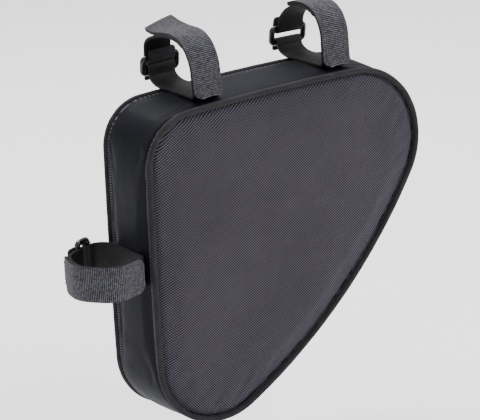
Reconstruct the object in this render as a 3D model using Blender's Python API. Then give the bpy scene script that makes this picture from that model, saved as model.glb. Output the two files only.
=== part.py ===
"""Bicycle frame bag: a soft triangular bag that hangs in the corner of a frame by three hook-and-loop straps.

Metres, +Z up. X runs along the top tube, away from the seat post; Y runs from the woven front to the back.
The origin is where the bag hangs: on the axis of the top tube, midway between the two top straps.
"""

import math

import bmesh
import bpy
from mathutils import Vector

# Bag body
PANEL_WIDTH = 0.2245
PANEL_HEIGHT = 0.2295
SEAT_CORNER_RADIUS = 0.034
HEAD_CORNER_RADIUS = 0.053
FOOT_CORNER_RADIUS = 0.048
SEAT_CORNER_DROP = 0.0055
TOP_EDGE_RADIUS = 2.1
LONG_EDGE_RADIUS = 0.39
SEAT_EDGE_RADIUS = 6.0
SEAM_DEPTH = 0.0556
SEWING_GAP = 0.0003

# The back is cut a little fuller than the front, with tighter corners
BACK_FULLNESS = 0.0012
BACK_SEAT_CORNER_RADIUS = 0.029
BACK_HEAD_CORNER_RADIUS = 0.050
BACK_FOOT_CORNER_RADIUS = 0.043

# Panels
PANEL_THICKNESS = 0.003
FRONT_CROWN = 0.0042
BACK_CROWN = 0.0030
PANEL_RINGS = (
    # (share of the way in from the edge, share of the crown)
    (0.00, 0.00),
    (0.05, 0.40),
    (0.14, 0.70),
    (0.32, 0.92),
    (0.58, 1.00),
    (0.84, 1.00),
)

# Gusset and piping
PIPING_RADIUS = 0.00225
GUSSET_THICKNESS = 0.002
GUSSET_EDGE_STAND = 0.0006
GUSSET_BULGE = 0.0016
GUSSET_ROWS = (
    # (share of the depth between the seams, share of the bulge)
    (0.00, 0.00),
    (0.07, 0.50),
    (0.24, 0.88),
    (0.50, 1.00),
    (0.76, 0.88),
    (0.93, 0.50),
    (1.00, 0.00),
)
GUSSET_DENT_SIZE = 0.0020
GUSSET_DENTS = (
    # (place as a share of the way round, half width as a share of it, share of the dent size)
    (0.17, 0.035, 0.55),
    (0.83, 0.030, -0.45),
    (0.70, 0.035, 1.00),
    (0.50, 0.060, 0.60),
)

# Zip on the back panel
ZIP_BELOW_TOP = 0.090
ZIP_FROM_SEAT_EDGE = 0.020
ZIP_LENGTH = 0.150
ZIP_SLOT_WIDTH = 0.006
ZIP_COIL_THICKNESS = 0.002
ZIP_COIL_SINK = 0.0002
ZIP_SLIDER_LENGTH = 0.010
ZIP_SLIDER_WIDTH = 0.0075
ZIP_SLIDER_HEIGHT = 0.0032
ZIP_SLIDER_FROM_END = 0.012
ZIP_PULL_LENGTH = 0.024
ZIP_PULL_WIDTH = 0.0055
ZIP_PULL_THICKNESS = 0.0014

# Straps
REAR_STRAP_FROM_SEAT_EDGE = 0.053
TOP_STRAP_SPACING = 0.109
SEAT_STRAP_BELOW_TOP = 0.1115
TOP_STRAP_WIDTH = 0.023
SEAT_STRAP_WIDTH = 0.025
STRAP_THICKNESS = 0.0024
TAB_THICKNESS = 0.0018
BASE_THICKNESS = 0.0016
STRAP_CORNER_RADIUS = 0.005
TAB_OVERLAP = 0.030
TAB_TAIL = 0.007
TAB_TUCK = 0.0007
BASE_CORNER_RADIUS = 0.004
BASE_RISE_RUN = 0.014
BASE_TAIL = 0.0065
BASE_TUCK = 0.00075
RING_BAR_RADIUS = 0.0018
RING_BAR_SPACING = 0.012
RING_SIDE_PLAY = 0.00075
RING_CLEARANCE = 0.0006
TUBE_CENTRE_RISE = 0.0215

# Middle lines as pairs: (share of the seam depth, share of the loop's rise)
TOP_FRONT = (
    (0.083, 0.028),
    (0.133, 0.106),
    (0.146, 0.230),
    (0.149, 0.392),
    (0.174, 0.608),
    (0.252, 0.806),
    (0.371, 0.933),
    (0.507, 0.990),
    (0.665, 1.000),
)
SEAT_FRONT = (
    (0.054, 0.088),
    (0.048, 0.164),
    (0.005, 0.321),
    (-0.045, 0.500),
    (-0.009, 0.700),
    (0.113, 0.850),
    (0.245, 0.960),
    (0.378, 1.000),
    (0.520, 0.985),
)
# Each strap comes up from the front, over the tube, and ends on the rear side in a free end. The tab comes
# up from the ring and lies under it. Both lie along the strap's middle line up to the leaving share.
STRAPS = {
    "rear_top": {
        "rise": 0.0430,
        "front": TOP_FRONT,
        "free_end": ((0.827, 0.991), (1.007, 0.968), (1.187, 0.945)),
        "tab": ((1.007, 0.882), (1.160, 0.811), (1.246, 0.714), (1.270, 0.611)),
        "leaving": 0.80,
        "ring": (1.250, 0.336),
        "ring_lean": 12.0,
        "tab_side": 1,
        "lap": 0.020,
    },
    "fore_top": {
        "rise": 0.0440,
        "front": TOP_FRONT,
        "free_end": ((0.800, 0.980), (0.900, 0.940), (0.960, 0.905)),
        "tab": ((0.950, 0.832), (1.070, 0.715), (1.129, 0.596)),
        "leaving": 0.78,
        "ring": (1.223, 0.330),
        "ring_lean": 10.0,
        "tab_side": -1,
        "lap": 0.020,
    },
    "seat": {
        "rise": 0.0475,
        "front": SEAT_FRONT,
        "free_end": ((0.640, 0.955), (0.730, 0.915), (0.805, 0.878)),
        "tab": ((0.750, 0.838), (0.822, 0.756), (0.874, 0.646)),
        "leaving": 0.66,
        "ring": (0.989, 0.469),
        "ring_lean": 25.0,
        "tab_side": -1,
        "lap": 0.030,
    },
}

# Numbers of faces
CORNER_STEPS = 12
EDGE_STEPS = {"top": 9, "long": 12, "seat": 10}
ROUTE_STEP = 0.0035
WRAP_STEPS = 7
RISE_STEPS = 7
RING_CORNER_STEPS = 4
END_ROWS = (0.0, 0.08, 0.29, 0.62, 1.0)

# Sizes that follow from the ones above
SEAM_STAND = PIPING_RADIUS + SEWING_GAP
GUSSET_CREST = max(across * BACK_FULLNESS + bulge * GUSSET_BULGE for across, bulge in GUSSET_ROWS)
GUSSET_STAND = SEAM_STAND + GUSSET_EDGE_STAND + GUSSET_CREST
PIPING_STAND = SEAM_STAND + PIPING_RADIUS + BACK_FULLNESS + SEWING_GAP
STRAP_STAND = max(GUSSET_STAND, PIPING_STAND)
ORIGIN = Vector(
    (
        REAR_STRAP_FROM_SEAT_EDGE + TOP_STRAP_SPACING / 2,
        SEAM_DEPTH / 2,
        STRAP_STAND + TUBE_CENTRE_RISE,
    )
)


def clear_scene():
    for old in list(bpy.data.objects):
        bpy.data.objects.remove(old)


def material(name, colour, roughness):
    made = bpy.data.materials.new(name)
    made.use_nodes = True
    shader = made.node_tree.nodes["Principled BSDF"]
    shader.inputs["Base Color"].default_value = (*colour, 1.0)
    shader.inputs["Roughness"].default_value = roughness
    return made


def finish(name, data, look):
    """An object on the scene's collection, with the origin moved to where the bag hangs."""
    made = bpy.data.objects.new(name, data)
    made.location = -ORIGIN
    bpy.context.scene.collection.objects.link(made)
    data.materials.append(look)
    return made


def smooth(data, angle=40):
    data.shade_smooth()
    data.set_sharp_from_angle(angle=math.radians(angle))


class Outline:
    """A triangle of three corner arcs and three slightly bowed edges, in the X-Z plane.

    X is measured from the seat edge and Z down from the top, so the whole outline has Z below zero.
    """

    def __init__(self, grow, seat_radius, head_radius, foot_radius):
        left, right, top, foot = -grow, PANEL_WIDTH + grow, grow, -PANEL_HEIGHT - grow
        self.corners = {
            "seat": (Vector((left + seat_radius, top - SEAT_CORNER_DROP - seat_radius)), seat_radius),
            "head": (Vector((right - head_radius, top - head_radius)), head_radius),
            "foot": (Vector((left + foot_radius, foot + foot_radius)), foot_radius),
        }
        self.middle = sum((centre for centre, _ in self.corners.values()), Vector((0, 0))) / 3
        self.edges = {
            "top": (self.edge_centre("seat", "head", TOP_EDGE_RADIUS), TOP_EDGE_RADIUS),
            "long": (self.edge_centre("head", "foot", LONG_EDGE_RADIUS), LONG_EDGE_RADIUS),
            "seat": (self.edge_centre("foot", "seat", SEAT_EDGE_RADIUS), SEAT_EDGE_RADIUS),
        }

    def edge_centre(self, start, end, radius):
        """Centre of the large arc that touches two corner arcs from outside the bag's middle."""
        (first, first_radius), (second, second_radius) = self.corners[start], self.corners[end]
        apart = second - first
        near, far = radius - first_radius, radius - second_radius
        along = (near**2 - far**2 + apart.length_squared) / (2 * apart.length)
        away = math.sqrt(near**2 - along**2)
        foot = first + apart.normalized() * along
        side = Vector((-apart.y, apart.x)).normalized()
        if side.dot(self.middle - foot) < 0:
            side = -side
        return foot + side * away

    def heading(self, corner, edge):
        """Angle of the outward normal where a corner arc meets an edge."""
        way = self.corners[corner][0] - self.edges[edge][0]
        return math.atan2(way.y, way.x)

    def points(self):
        """Pairs of a point and its outward normal, clockwise from the seat corner's lower end."""
        found = []
        legs = (
            ("seat", "seat", "top", "head"),
            ("head", "top", "long", "foot"),
            ("foot", "long", "seat", "seat"),
        )
        for corner, before, after, following in legs:
            centre, radius = self.corners[corner]
            start, end = self.heading(corner, before), self.heading(corner, after)
            found += arc(centre, radius, start, end, CORNER_STEPS)
            centre, radius = self.edges[after]
            found += arc(centre, radius, end, self.heading(following, after), EDGE_STEPS[after])
        return found

    def on_edge(self, edge, axis, value):
        """Point and normal on a bowed edge where one coordinate has a value."""
        centre, radius = self.edges[edge]
        other = 1 - axis
        reach = value - centre[axis]
        outward = 1 if self.edges[edge][0][other] < self.middle[other] else -1
        point = centre.copy()
        point[axis] = value
        point[other] += outward * math.sqrt(radius**2 - reach**2)
        return point, (point - centre).normalized()


def arc(centre, radius, start, end, steps):
    """Points and normals along a clockwise arc, without its last point."""
    turn = (start - end) % (2 * math.pi)
    angles = [start - turn * i / steps for i in range(steps)]
    normals = [Vector((math.cos(angle), math.sin(angle))) for angle in angles]
    return [(centre + normal * radius, normal) for normal in normals]


FRONT = Outline(0.0, SEAT_CORNER_RADIUS, HEAD_CORNER_RADIUS, FOOT_CORNER_RADIUS)
BACK = Outline(
    BACK_FULLNESS, BACK_SEAT_CORNER_RADIUS, BACK_HEAD_CORNER_RADIUS, BACK_FOOT_CORNER_RADIUS
)


def grow_rows(rows, closed):
    """A sheet through rows of points, each row extruded from the one before it."""
    sheet = bmesh.new()
    row = [sheet.verts.new(point) for point in rows[0]]
    ends = row[1:] + row[:1] if closed else row[1:]
    edges = [sheet.edges.new(pair) for pair in zip(row, ends)]
    for points in rows[1:]:
        grown = bmesh.ops.extrude_edge_only(sheet, edges=edges)["geom"]
        fresh = {part for part in grown if isinstance(part, bmesh.types.BMVert)}
        row = [
            next(edge.other_vert(old) for edge in old.link_edges if edge.other_vert(old) in fresh)
            for old in row
        ]
        edges = [part for part in grown if isinstance(part, bmesh.types.BMEdge)]
        edges = [edge for edge in edges if all(end in fresh for end in edge.verts)]
        for vert, point in zip(row, points):
            vert.co = point
    return sheet, edges


def face_out(sheet, inside):
    """Turns a sheet so that its faces look away from a point inside the bag."""
    sheet.normal_update()
    away = sum(face.normal.dot(face.calc_center_median() - inside) for face in sheet.faces)
    if away < 0:
        bmesh.ops.reverse_faces(sheet, faces=sheet.faces)


def mesh_of(name, sheet):
    data = bpy.data.meshes.new(name)
    sheet.to_mesh(data)
    sheet.free()
    return data


def add_wall(made, thickness, offset):
    wall = made.modifiers.new("Wall", "SOLIDIFY")
    wall.thickness = thickness
    wall.offset = offset
    wall.use_even_offset = offset != 0
    return wall


def make_panel(name, outline, seam, facing, crown, look):
    """A crowned padded panel: facing is -1 for the front and 1 for the back."""
    rows = []
    for inward, rise in PANEL_RINGS:
        depth = seam + facing * crown * rise
        ring = [point.lerp(outline.middle, inward) for point, _ in outline.points()]
        rows.append([(point.x, depth, point.y) for point in ring])
    sheet, rim = grow_rows(rows, closed=True)
    cap = bmesh.ops.contextual_create(sheet, geom=rim)["faces"]
    bmesh.ops.poke(sheet, faces=cap)
    face_out(sheet, Vector((outline.middle.x, SEAM_DEPTH / 2, outline.middle.y)))
    data = mesh_of(name, sheet)
    smooth(data)
    made = finish(name, data, look)
    add_wall(made, PANEL_THICKNESS, -1)
    return made


def dent_at(share):
    """How far the gusset is pressed in at a share of the way round."""
    sunk = 0.0
    for place, half_width, amount in GUSSET_DENTS:
        apart = abs(share - place)
        sunk += amount * math.exp(-((min(apart, 1 - apart) / half_width) ** 2))
    return GUSSET_DENT_SIZE * sunk


def make_gusset(look):
    front, back = FRONT.points(), BACK.points()
    start, end = SEAM_STAND, SEAM_DEPTH - SEAM_STAND
    rows = []
    for across, bulge in GUSSET_ROWS:
        row = []
        depth = start + (end - start) * across
        blend = depth / SEAM_DEPTH
        for i in range(len(front)):
            (near, near_normal), (far, far_normal) = front[i], back[i]
            stand = SEAM_STAND + GUSSET_EDGE_STAND
            stand += (GUSSET_BULGE - dent_at(i / len(front))) * bulge
            point = near.lerp(far, blend) + near_normal.lerp(far_normal, blend) * stand
            row.append((point.x, depth, point.y))
        rows.append(row)
    sheet, _ = grow_rows(rows, closed=True)
    face_out(sheet, Vector((FRONT.middle.x, SEAM_DEPTH / 2, FRONT.middle.y)))
    data = mesh_of("gusset", sheet)
    smooth(data)
    made = finish("gusset", data, look)
    add_wall(made, GUSSET_THICKNESS, -1)


def curve_tube(name, points, radius, resolution, look):
    """A closed round bead or bar along a loop of points."""
    data = bpy.data.curves.new(name, "CURVE")
    data.dimensions = "3D"
    data.bevel_depth = radius
    data.bevel_resolution = resolution
    spline = data.splines.new("POLY")
    spline.points.add(len(points) - 1)
    for target, point in zip(spline.points, points):
        target.co = (*point, 1.0)
    spline.use_cyclic_u = True
    spline.use_smooth = True
    return finish(name, data, look)


def make_piping(name, outline, depth, look):
    loop = [point + normal * SEAM_STAND for point, normal in outline.points()]
    curve_tube(name, [(p.x, depth, p.y) for p in loop], PIPING_RADIUS, 2, look)


def block(name, size, centre, round_edges, radius, look):
    """A box with some edges rounded: round_edges picks them by their direction's axis."""
    body = bmesh.new()
    bmesh.ops.create_cube(body, size=1.0)
    bmesh.ops.scale(body, vec=size, verts=body.verts)
    bmesh.ops.translate(body, vec=centre, verts=body.verts)
    chosen = []
    for edge in body.edges:
        way = edge.verts[1].co - edge.verts[0].co
        if abs(way[round_edges]) > 0.5 * way.length:
            chosen.append(edge)
    bmesh.ops.bevel(
        body,
        geom=chosen,
        offset=radius,
        segments=RING_CORNER_STEPS,
        profile=0.5,
        affect="EDGES",
        material=-1,
    )
    data = mesh_of(name, body)
    return finish(name, data, look)


def make_zip(back_panel, coil_look, metal_look):
    """The slot in the back panel, the closed coil that fills it, and the slider with its pull."""
    outer = SEAM_DEPTH + BACK_CROWN
    middle = Vector((ZIP_FROM_SEAT_EDGE + ZIP_LENGTH / 2, outer, -ZIP_BELOW_TOP))
    slot_size = (ZIP_LENGTH, 6 * PANEL_THICKNESS, ZIP_SLOT_WIDTH)
    slot = block("zip_slot", slot_size, middle, 1, ZIP_SLOT_WIDTH * 0.49, coil_look)
    slot.hide_render = True
    slot.display_type = "WIRE"
    cut = back_panel.modifiers.new("Slot", "BOOLEAN")
    cut.operation = "DIFFERENCE"
    cut.solver = "EXACT"
    cut.object = slot

    coil_width = ZIP_SLOT_WIDTH - 2 * SEWING_GAP
    coil_size = (ZIP_LENGTH - 2 * SEWING_GAP, ZIP_COIL_THICKNESS, coil_width)
    coil_face = outer - ZIP_COIL_SINK
    coil_middle = middle.copy()
    coil_middle.y = coil_face - ZIP_COIL_THICKNESS / 2
    block("zip_coil", coil_size, coil_middle, 1, coil_width * 0.49, coil_look)

    slider_middle = Vector(
        (
            ZIP_FROM_SEAT_EDGE + ZIP_SLIDER_FROM_END,
            max(coil_face, outer) + SEWING_GAP + ZIP_SLIDER_HEIGHT / 2,
            -ZIP_BELOW_TOP,
        )
    )
    slider_size = (ZIP_SLIDER_LENGTH, ZIP_SLIDER_HEIGHT, ZIP_SLIDER_WIDTH)
    block("zip_slider", slider_size, slider_middle, 1, ZIP_SLIDER_WIDTH * 0.3, metal_look)

    pull_middle = slider_middle.copy()
    pull_middle.z -= ZIP_SLIDER_WIDTH / 2 + SEWING_GAP + ZIP_PULL_LENGTH / 2
    pull_size = (ZIP_PULL_WIDTH, ZIP_PULL_THICKNESS, ZIP_PULL_LENGTH)
    block("zip_pull", pull_size, pull_middle, 1, ZIP_PULL_WIDTH * 0.4, metal_look)


def through(points, step, skipped=0):
    """A smooth curve through points in a plane, read at about equal steps (Catmull-Rom).

    The first skipped stretches only give the curve its heading.
    """
    ends = [points[0] * 2 - points[1]] + points + [points[-1] * 2 - points[-2]]
    fine = []
    for before, start, end, after in list(zip(ends, ends[1:], ends[2:], ends[3:]))[skipped:]:
        count = max(2, round((end - start).length / step))
        for i in range(count):
            t = i / count
            fine.append(
                0.5
                * (
                    2 * start
                    + (end - before) * t
                    + (2 * before - 5 * start + 4 * end - after) * t * t
                    + (3 * start - before - 3 * end + after) * t * t * t
                )
            )
    return fine + [points[-1]]


def bezier(pulls, t):
    """Point on a cubic curve between the first and last of four pulls."""
    first, second, third, last = pulls
    u = 1 - t
    return first * u**3 + second * (3 * u * u * t) + third * (3 * u * t * t) + last * t**3


def side_of(points, i):
    """Unit normal of a path at a point, to the left of its way: outwards on a strap's loop."""
    way = points[min(i + 1, len(points) - 1)] - points[max(i - 1, 0)]
    return Vector((-way.y, way.x)).normalized()


def along(points):
    """Length along a path at each of its points."""
    lengths = [0.0]
    for first, second in zip(points, points[1:]):
        lengths.append(lengths[-1] + (second - first).length)
    return lengths


def wrap(centre, radius, start, turn):
    """Points round a ring's bar, from an angle in degrees, turning by a signed number of degrees."""
    angles = [math.radians(start + turn * i / WRAP_STEPS) for i in range(WRAP_STEPS + 1)]
    return [centre + Vector((math.cos(angle), math.sin(angle))) * radius for angle in angles]


def placed(plan, shares):
    """A route's points in a strap's plane, from its shares of the seam depth and the loop's rise."""
    return [Vector((depth * SEAM_DEPTH, rise * plan["rise"])) for depth, rise in shares]


def ring_bars(plan):
    """Middles of the ring's lower and upper bars, and the unit way between them, in the strap's plane."""
    middle = placed(plan, [plan["ring"]])[0]
    lean = math.radians(plan["ring_lean"])
    way = Vector((-math.sin(lean), math.cos(lean)))
    return middle - way * RING_BAR_SPACING / 2, middle + way * RING_BAR_SPACING / 2, way


def strap_path(plan):
    """Middle line of the long strap: up from the front, over the tube and back to its free end."""
    return through(placed(plan, plan["front"] + plan["free_end"]), ROUTE_STEP)


def tab_path(plan):
    """Middle line of the tab: along the underside of the strap, down to the ring and round its upper bar."""
    _, upper, way = ring_bars(plan)
    lean = plan["ring_lean"]
    reach = RING_BAR_RADIUS + RING_CLEARANCE + TAB_THICKNESS / 2
    apart = (STRAP_THICKNESS + TAB_THICKNESS) / 2 + SEWING_GAP
    strap = strap_path(plan)
    lengths = along(strap)
    leaving = next(
        length
        for length, point in zip(lengths, strap)
        if point.x > plan["leaving"] * SEAM_DEPTH
    )
    under = [
        strap[i] - side_of(strap, i) * apart
        for i, length in enumerate(lengths)
        if leaving - TAB_OVERLAP < length < leaving
    ]
    start = 180 + lean if plan["tab_side"] < 0 else lean
    round_bar = wrap(upper, reach, start, -180 * plan["tab_side"])
    down = through([under[-3], under[-1]] + placed(plan, plan["tab"]) + [round_bar[0]], ROUTE_STEP, 1)
    inward = Vector((way.y, -way.x)) * plan["tab_side"]
    tail_end = round_bar[-1] + way * TAB_TAIL + inward * TAB_TUCK
    return under[:-1] + down + round_bar[1:] + [round_bar[-1].lerp(tail_end, 0.5), tail_end]


def base_path(plan):
    """Middle line of the base webbing: down inside the strap, along the gusset, and round the lower bar."""
    lower, _, way = ring_bars(plan)
    lean = plan["ring_lean"]
    apart = (STRAP_THICKNESS + BASE_THICKNESS) / 2 + SEWING_GAP
    strap = strap_path(plan)
    lengths = along(strap)
    floor = SEWING_GAP + BASE_THICKNESS / 2
    lap = []
    for i, length in enumerate(lengths):
        point = strap[i] - side_of(strap, i) * apart
        if length < plan["lap"] and point.y > floor + BASE_CORNER_RADIUS:
            lap.append(point)
    lap.reverse()
    corner = Vector((lap[-1].x + BASE_CORNER_RADIUS, floor + BASE_CORNER_RADIUS))
    bend = wrap(corner, BASE_CORNER_RADIUS, 180, 90)
    reach = RING_BAR_RADIUS + RING_CLEARANCE + BASE_THICKNESS / 2
    inside = lower - Vector((way.y, -way.x)) * reach
    rear = Vector((inside.x - BASE_RISE_RUN, floor))
    pulls = (rear, rear + Vector((0.6 * BASE_RISE_RUN, 0)), inside - way * 0.45 * inside.y, inside)
    rise = [bezier(pulls, i / RISE_STEPS) for i in range(RISE_STEPS + 1)]
    round_bar = wrap(lower, reach, 180 + lean, -180)[1:]
    tail_end = round_bar[-1] - way * BASE_TAIL - Vector((way.y, -way.x)) * BASE_TUCK
    return lap + bend[1:] + rise + round_bar + [tail_end]


def place(seat, stand):
    """Where a strap stands on the gusset: its foot, its outward way and the way of its width."""
    point, normal = seat
    outward = Vector((normal.x, 0, normal.y))
    foot = Vector((point.x, 0, point.y)) + outward * stand
    return foot, outward, outward.cross(Vector((0, 1, 0)))


def with_end_rows(path, corner):
    """The path with extra points close to both ends, where the strip's corners are rounded."""
    for _ in range(2):
        lengths = along(path)
        extra = [corner * share for share in END_ROWS]
        kept = [path[i] for i, length in enumerate(lengths) if length > corner * 1.3]
        placed = []
        for wanted in extra:
            i = next(i for i, length in enumerate(lengths) if length > wanted)
            share = (wanted - lengths[i - 1]) / (lengths[i] - lengths[i - 1])
            placed.append(path[i - 1].lerp(path[i], share))
        path = (placed + kept)[::-1]
    return path


def lay_strip(name, path, width, corner, thickness, where, look):
    """A strip of webbing along a path in the loop's plane, with its two ends' corners rounded."""
    foot, outward, across = where
    path = with_end_rows(path, corner)
    lengths = along(path)
    rows = []
    for point, length in zip(path, lengths):
        from_end = min(length, lengths[-1] - length)
        cut = 0.0
        if from_end < corner:
            cut = corner - math.sqrt(corner**2 - (corner - from_end) ** 2)
        half = width / 2 - cut
        spot = foot + Vector((0, point.x, 0)) + outward * point.y
        rows.append([spot - across * half, spot + across * half])
    sheet, _ = grow_rows(rows, closed=False)
    data = mesh_of(name, sheet)
    smooth(data)
    made = finish(name, data, look)
    add_wall(made, thickness, 0)


def make_ring(name, plan, width, where, look):
    """The plastic ring: a round bar bent into a rectangle that holds both webbings."""
    foot, outward, across = where
    lower, upper, way = ring_bars(plan)
    half_width = width / 2 + RING_SIDE_PLAY + RING_BAR_RADIUS
    half_height = RING_BAR_SPACING / 2
    bend = 1.6 * RING_BAR_RADIUS
    middle = (lower + upper) / 2
    points = []
    for i, (side, end) in enumerate(((1, 1), (-1, 1), (-1, -1), (1, -1))):
        centre = Vector((side * (half_width - bend), end * (half_height - bend)))
        for step in range(RING_CORNER_STEPS + 1):
            angle = math.radians(90 * i + 90 * step / RING_CORNER_STEPS)
            flat = centre + Vector((math.cos(angle), math.sin(angle))) * bend
            spot = middle + way * flat.y
            points.append(foot + across * flat.x + Vector((0, spot.x, 0)) + outward * spot.y)
    curve_tube(name, points, RING_BAR_RADIUS, 2, look)


def make_strap(name, plan, where, width, webbing, base_look, plastic):
    base_width = width - 2 * RING_SIDE_PLAY
    lay_strip(name + "_base", base_path(plan), base_width, 0.001, BASE_THICKNESS, where, base_look)
    make_ring(name + "_ring", plan, width, where, plastic)
    tab = tab_path(plan)
    lay_strip(name + "_tab", tab, base_width, STRAP_CORNER_RADIUS / 2, TAB_THICKNESS, where, base_look)
    strap = strap_path(plan)
    lay_strip(name + "_strap", strap, width, STRAP_CORNER_RADIUS, STRAP_THICKNESS, where, webbing)


def main():
    clear_scene()
    weave = material("woven_polyester", (0.060, 0.056, 0.068), 0.85)
    coated = material("coated_gusset", (0.022, 0.023, 0.028), 0.5)
    ribbed = material("ribbed_piping", (0.040, 0.038, 0.042), 0.8)
    webbing = material("hook_and_loop", (0.070, 0.068, 0.074), 0.9)
    dark_webbing = material("base_webbing", (0.012, 0.012, 0.013), 0.85)
    plastic = material("black_plastic", (0.008, 0.008, 0.009), 0.25)
    zip_look = material("zip_coil", (0.010, 0.010, 0.011), 0.55)

    make_panel("front_panel", FRONT, 0.0, -1, FRONT_CROWN, weave)
    back_panel = make_panel("back_panel", BACK, SEAM_DEPTH, 1, BACK_CROWN, weave)
    make_gusset(coated)
    make_piping("front_piping", FRONT, 0.0, ribbed)
    make_piping("back_piping", BACK, SEAM_DEPTH, ribbed)
    make_zip(back_panel, zip_look, plastic)

    rear = REAR_STRAP_FROM_SEAT_EDGE
    fore = rear + TOP_STRAP_SPACING
    places = {
        "rear_top": (place(FRONT.on_edge("top", 0, rear), STRAP_STAND), TOP_STRAP_WIDTH),
        "fore_top": (place(FRONT.on_edge("top", 0, fore), STRAP_STAND), TOP_STRAP_WIDTH),
        "seat": (place(FRONT.on_edge("seat", 1, -SEAT_STRAP_BELOW_TOP), GUSSET_STAND), SEAT_STRAP_WIDTH),
    }
    for name, plan in STRAPS.items():
        where, width = places[name]
        make_strap(name, plan, where, width, webbing, dark_webbing, plastic)


main()
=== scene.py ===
"""Looks of the bicycle frame bag: woven panels, coated gusset, ribbed piping, webbing, plastic rings and zip.

Metres, +Z up. X runs along the top tube, Y from the woven front to the back with the zip. The origin is
where the bag hangs, on the top tube's axis midway between the two top straps.
"""

import math

import bmesh
import bpy
from mathutils import Matrix, Vector, noise
from mathutils.bvhtree import BVHTree


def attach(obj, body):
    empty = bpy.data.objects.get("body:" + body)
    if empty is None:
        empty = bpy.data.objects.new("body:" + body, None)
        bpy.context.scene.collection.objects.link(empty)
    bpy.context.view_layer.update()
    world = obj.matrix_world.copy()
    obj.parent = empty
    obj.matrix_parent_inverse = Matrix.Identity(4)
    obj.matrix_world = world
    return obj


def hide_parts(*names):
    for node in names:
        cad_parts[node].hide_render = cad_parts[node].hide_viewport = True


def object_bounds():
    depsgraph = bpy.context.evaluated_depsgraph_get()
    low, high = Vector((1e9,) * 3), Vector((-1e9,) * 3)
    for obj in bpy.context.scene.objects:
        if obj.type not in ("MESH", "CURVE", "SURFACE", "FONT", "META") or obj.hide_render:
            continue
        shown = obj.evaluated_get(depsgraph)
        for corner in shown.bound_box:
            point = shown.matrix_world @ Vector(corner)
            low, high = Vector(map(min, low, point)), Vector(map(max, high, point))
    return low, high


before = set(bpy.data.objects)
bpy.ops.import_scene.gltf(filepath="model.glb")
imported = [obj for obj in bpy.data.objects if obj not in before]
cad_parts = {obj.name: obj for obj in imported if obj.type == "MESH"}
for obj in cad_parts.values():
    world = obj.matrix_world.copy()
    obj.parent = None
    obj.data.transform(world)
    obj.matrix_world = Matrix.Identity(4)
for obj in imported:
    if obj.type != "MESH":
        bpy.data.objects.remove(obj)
cad_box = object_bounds()


# Bag body
PANEL_WIDTH = 0.2245
PANEL_HEIGHT = 0.2295
SEAT_CORNER_RADIUS = 0.034
HEAD_CORNER_RADIUS = 0.053
FOOT_CORNER_RADIUS = 0.048
SEAT_CORNER_DROP = 0.0055
TOP_EDGE_RADIUS = 2.1
LONG_EDGE_RADIUS = 0.39
SEAT_EDGE_RADIUS = 6.0
SEAM_DEPTH = 0.0556
SEWING_GAP = 0.0003

# The back is cut a little fuller than the front, with tighter corners
BACK_FULLNESS = 0.0012
BACK_SEAT_CORNER_RADIUS = 0.029
BACK_HEAD_CORNER_RADIUS = 0.050
BACK_FOOT_CORNER_RADIUS = 0.043

# Panels
PANEL_THICKNESS = 0.003
FRONT_CROWN = 0.0042
BACK_CROWN = 0.0030

# Gusset and piping
PIPING_RADIUS = 0.00225
GUSSET_THICKNESS = 0.002
GUSSET_EDGE_STAND = 0.0006
GUSSET_BULGE = 0.0016
GUSSET_ROWS = (
    # (share of the depth between the seams, share of the bulge)
    (0.00, 0.00),
    (0.07, 0.50),
    (0.24, 0.88),
    (0.50, 1.00),
    (0.76, 0.88),
    (0.93, 0.50),
    (1.00, 0.00),
)
GUSSET_DENT_SIZE = 0.0020
GUSSET_DENTS = (
    # (place as a share of the way round, half width as a share of it, share of the dent size)
    (0.17, 0.035, 0.55),
    (0.83, 0.030, -0.45),
    (0.70, 0.035, 1.00),
    (0.50, 0.060, 0.60),
)

# Zip on the back panel
ZIP_BELOW_TOP = 0.090
ZIP_FROM_SEAT_EDGE = 0.020
ZIP_LENGTH = 0.150
ZIP_SLOT_WIDTH = 0.006
ZIP_COIL_THICKNESS = 0.002
ZIP_COIL_SINK = 0.0002
ZIP_SLIDER_LENGTH = 0.010
ZIP_SLIDER_WIDTH = 0.0075
ZIP_SLIDER_HEIGHT = 0.0032
ZIP_SLIDER_FROM_END = 0.012
ZIP_PULL_LENGTH = 0.024
ZIP_PULL_WIDTH = 0.0055
ZIP_PULL_THICKNESS = 0.0014

# Straps
REAR_STRAP_FROM_SEAT_EDGE = 0.053
TOP_STRAP_SPACING = 0.109
SEAT_STRAP_BELOW_TOP = 0.1115
TOP_STRAP_WIDTH = 0.023
SEAT_STRAP_WIDTH = 0.025
STRAP_THICKNESS = 0.0024
TAB_THICKNESS = 0.0018
BASE_THICKNESS = 0.0016
STRAP_CORNER_RADIUS = 0.005
TAB_OVERLAP = 0.030
TAB_TAIL = 0.007
TAB_TUCK = 0.0007
BASE_CORNER_RADIUS = 0.004
BASE_RISE_RUN = 0.014
BASE_TAIL = 0.0065
BASE_TUCK = 0.00075
RING_BAR_RADIUS = 0.0018
RING_BAR_SPACING = 0.012
RING_SIDE_PLAY = 0.00075
RING_CLEARANCE = 0.0006
TUBE_CENTRE_RISE = 0.0215

# Middle lines as pairs: (share of the seam depth, share of the loop's rise)
TOP_FRONT = (
    (0.083, 0.028),
    (0.133, 0.106),
    (0.146, 0.230),
    (0.149, 0.392),
    (0.174, 0.608),
    (0.252, 0.806),
    (0.371, 0.933),
    (0.507, 0.990),
    (0.665, 1.000),
)
SEAT_FRONT = (
    (0.054, 0.088),
    (0.048, 0.164),
    (0.005, 0.321),
    (-0.045, 0.500),
    (-0.009, 0.700),
    (0.113, 0.850),
    (0.245, 0.960),
    (0.378, 1.000),
    (0.520, 0.985),
)
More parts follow.
